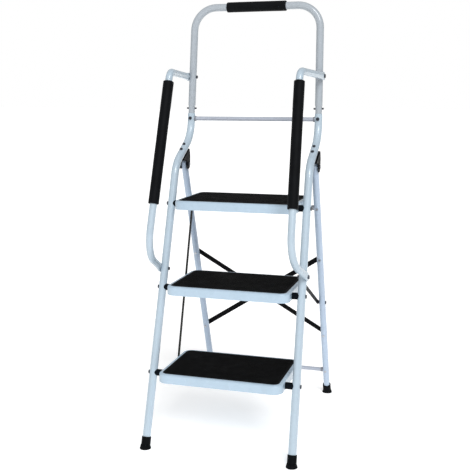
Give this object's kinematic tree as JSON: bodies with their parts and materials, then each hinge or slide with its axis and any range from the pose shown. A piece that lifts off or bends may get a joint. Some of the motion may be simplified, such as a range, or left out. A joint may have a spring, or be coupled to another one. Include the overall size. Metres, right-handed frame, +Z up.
{
  "type": "folding step stool",
  "caption": "Folding household step stool with flat rubber-topped treads, bowed side handrails, a tall padded safety hoop and braced folding back legs.",
  "frame": {"origin": "on the floor, midway between the front and the back feet, in the stool's middle plane", "axes": "+X across the stool to the user's right, +Y from the user towards the back legs, +Z up"},
  "size_m": [0.504, 0.686, 1.3914],
  "materials": {
    "frame_paint": "gloss white powder coat",
    "tread_paint": "gloss white powder coat",
    "leg_paint": "gloss white powder coat",
    "bar_paint": "satin grey",
    "strip_paint": "satin black",
    "foam": "matte foam",
    "mat_rubber": "fine grained matte",
    "foot_rubber": "matte",
    "collar_plastic": "matte",
    "spacer_plastic": "matte",
    "dark_bolt": "dark coated",
    "rivet_steel": "plated"
  },
  "bodies": {
    "front_frame": {"stile_left": "frame_paint", "stile_right": "frame_paint", "upper_hoop": "frame_paint", "hoop_grip": "foam", "hoop_stop_pins": "rivet_steel", "front_crossbar": "bar_paint", "front_bar_collars": "collar_plastic", "front_bar_bolts": "dark_bolt", "handrail_left": "frame_paint", "handrail_right": "frame_paint", "handrail_grip_left": "foam", "handrail_grip_right": "foam", "handrail_bolts": "dark_bolt", "front_foot_left": "foot_rubber", "front_foot_right": "foot_rubber", "hinge_bracket_left": "strip_paint", "hinge_bracket_right": "strip_paint", "bracket_bolts": "dark_bolt", "leg_hinge_bolts": "dark_bolt", "tread_spacers": "spacer_plastic", "tread_pivot_bolts": "dark_bolt"},
    "bottom_step": {"bottom_tray": "tread_paint", "bottom_mat": "mat_rubber"},
    "middle_step": {"middle_tray": "tread_paint", "middle_mat": "mat_rubber"},
    "top_step": {"top_tray": "tread_paint", "top_mat": "mat_rubber"},
    "step_links": {"link_left": "strip_paint", "link_right": "strip_paint", "link_rivets": "rivet_steel"},
    "back_frame": {"back_leg_left": "leg_paint", "back_leg_right": "leg_paint", "back_foot_left": "foot_rubber", "back_foot_right": "foot_rubber", "upper_back_bar": "bar_paint", "lower_back_bar": "bar_paint", "back_bar_collars": "collar_plastic", "back_bar_rivets": "rivet_steel", "brace_rising": "strip_paint", "brace_falling": "strip_paint", "brace_rivets": "rivet_steel", "brace_centre_rivet": "rivet_steel", "strut_bolts": "dark_bolt"},
    "struts": {"strut_left": "strip_paint", "strut_right": "strip_paint", "strut_studs": "rivet_steel"}
  },
  "joints": [
    {"name": "top_step_fold", "type": "hinge", "parent": "front_frame", "child": "top_step", "pos_m": [0, -0.09896, 0.744], "axis": [1, 0, 0], "range_deg": [0, 65]},
    {"name": "middle_step_fold", "type": "hinge", "parent": "front_frame", "child": "middle_step", "pos_m": [0, -0.17765, 0.485], "axis": [1, 0, 0], "range_deg": [0, 65]},
    {"name": "bottom_step_fold", "type": "hinge", "parent": "front_frame", "child": "bottom_step", "pos_m": [0, -0.25634, 0.226], "axis": [1, 0, 0], "range_deg": [0, 65]},
    {"name": "link_swing", "type": "hinge", "parent": "top_step", "child": "step_links", "pos_m": [0, 0.04604, 0.744], "axis": [1, 0, 0], "range_deg": [-65, 0]},
    {"name": "back_frame_fold", "type": "hinge", "parent": "front_frame", "child": "back_frame", "pos_m": [0, 0.0235, 0.862], "axis": [1, 0, 0], "range_deg": [-34.8, 0]},
    {"name": "strut_swing", "type": "hinge", "parent": "back_frame", "child": "struts", "pos_m": [0, 0.19384, 0.375], "axis": [1, 0, 0], "range_deg": [-28.9, 0]}
  ],
  "couplings": [
    {"joint": "middle_step_fold", "follows": "top_step_fold", "ratio": 1},
    {"joint": "bottom_step_fold", "follows": "top_step_fold", "ratio": 1},
    {"joint": "link_swing", "follows": "top_step_fold", "ratio": -1},
    {"joint": "back_frame_fold", "follows": "top_step_fold", "ratio": -0.53384},
    {"joint": "strut_swing", "follows": "top_step_fold", "ratio": -0.44288}
  ]
}
